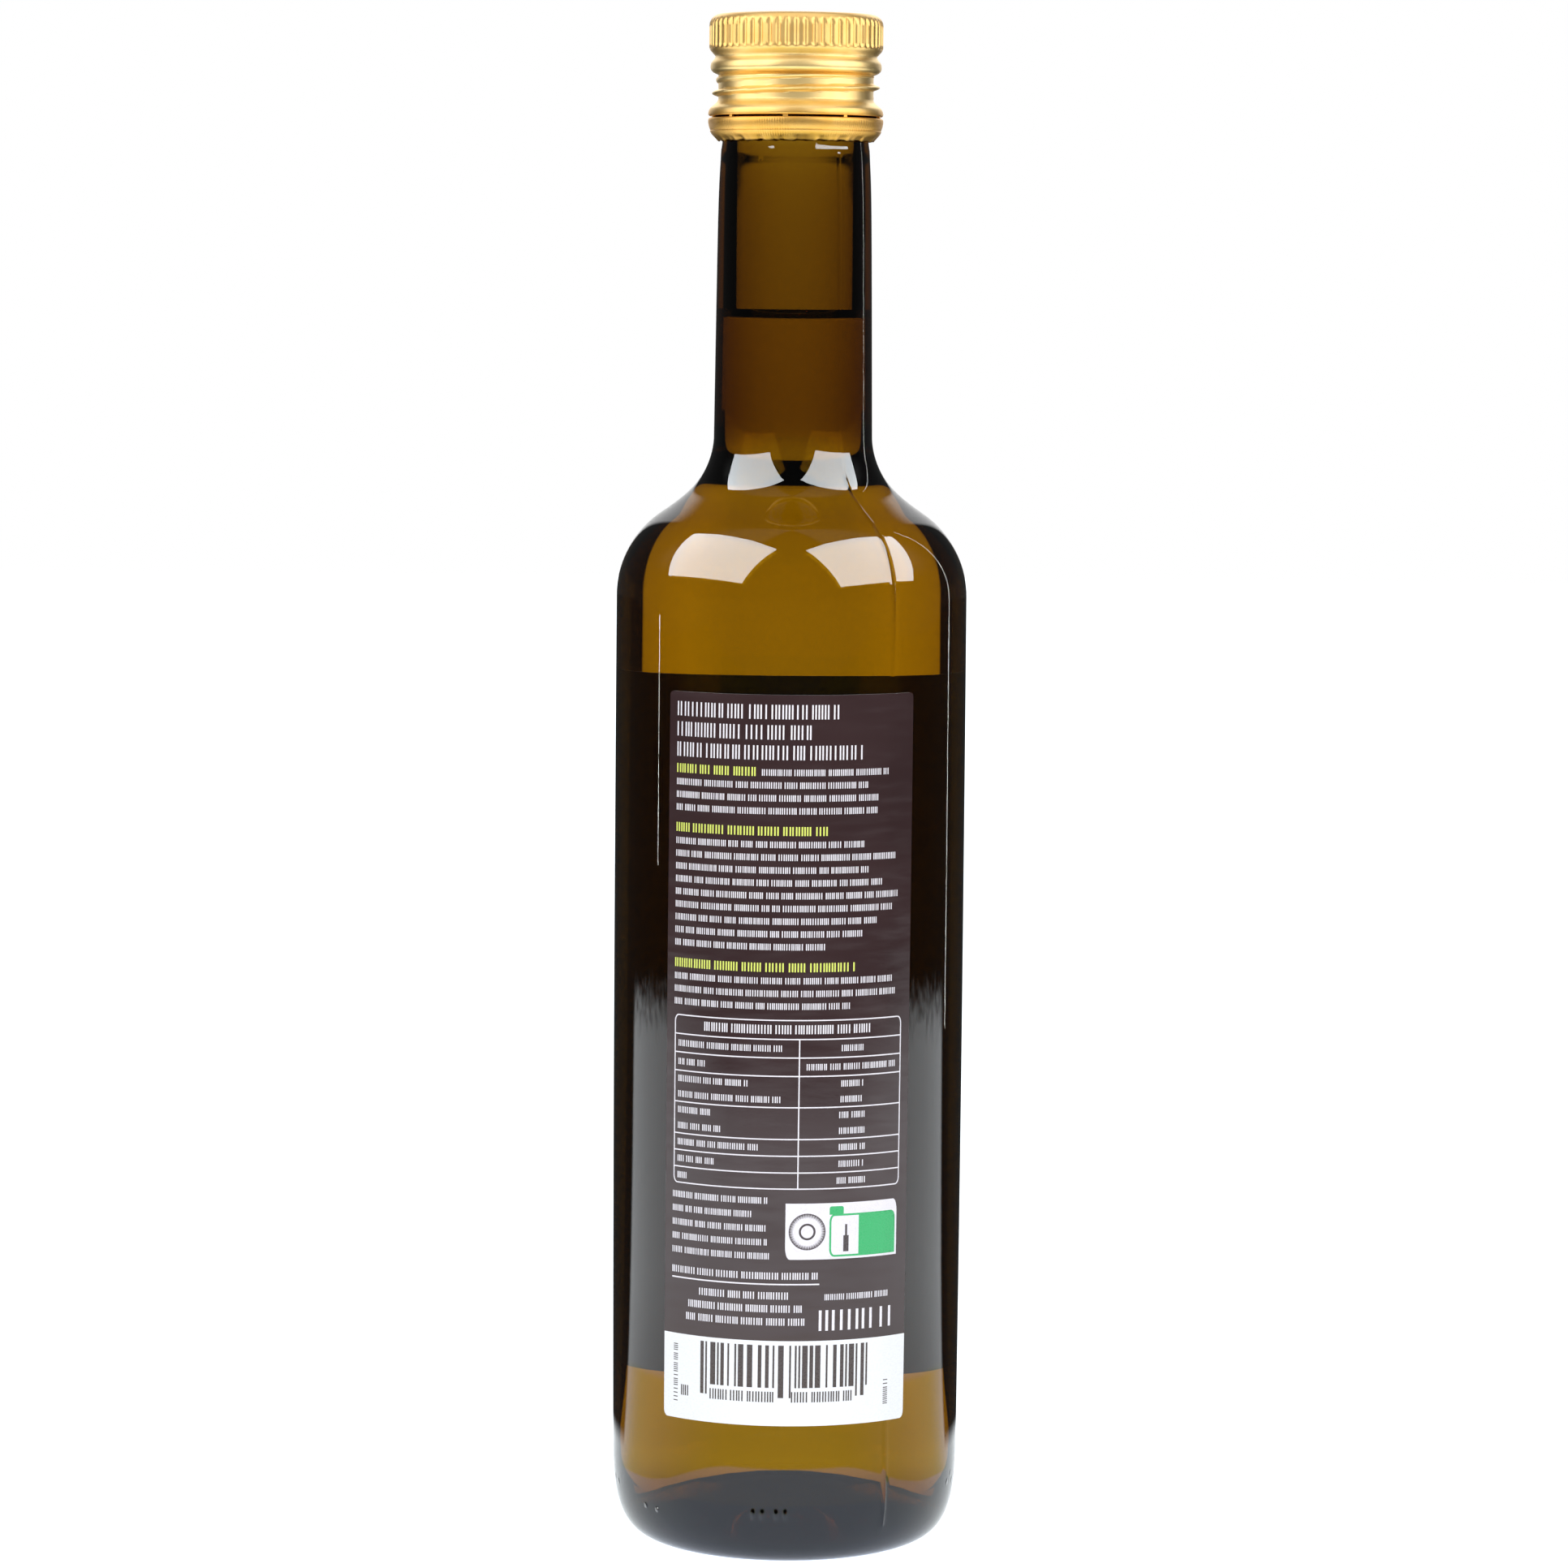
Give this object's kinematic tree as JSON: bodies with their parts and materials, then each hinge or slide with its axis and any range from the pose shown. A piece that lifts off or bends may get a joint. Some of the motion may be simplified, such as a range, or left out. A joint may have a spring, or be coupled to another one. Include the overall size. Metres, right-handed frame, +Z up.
{
  "type": "olive oil bottle",
  "caption": "Tall round glass bottle filled with olive oil, with a long neck, a rolled-on metal screw cap and a paper label on the front and on the back.",
  "frame": {"origin": "centre of the ring the bottle stands on, at the middle of the bottom of its box", "axes": "+Z up along the bottle to the cap; the back label, which the picture shows, faces -Y, and the front label faces +Y"},
  "size_m": [0.0636, 0.0648, 0.2769],
  "materials": {
    "bottle_glass": "clear dark yellow-brown glass, fire-polished",
    "oil": "clear golden oil",
    "cap_metal": "satin gold lacquer",
    "back_paper": "dark purple-brown print with a fine pebbled sheen",
    "front_paper": "dark purple-brown print with a fine pebbled sheen"
  },
  "bodies": {
    "root": {"glass_bottle": "bottle_glass", "olive_oil": "oil", "screw_cap": "cap_metal", "back_label": "back_paper", "front_label": "front_paper"}
  },
  "joints": []
}
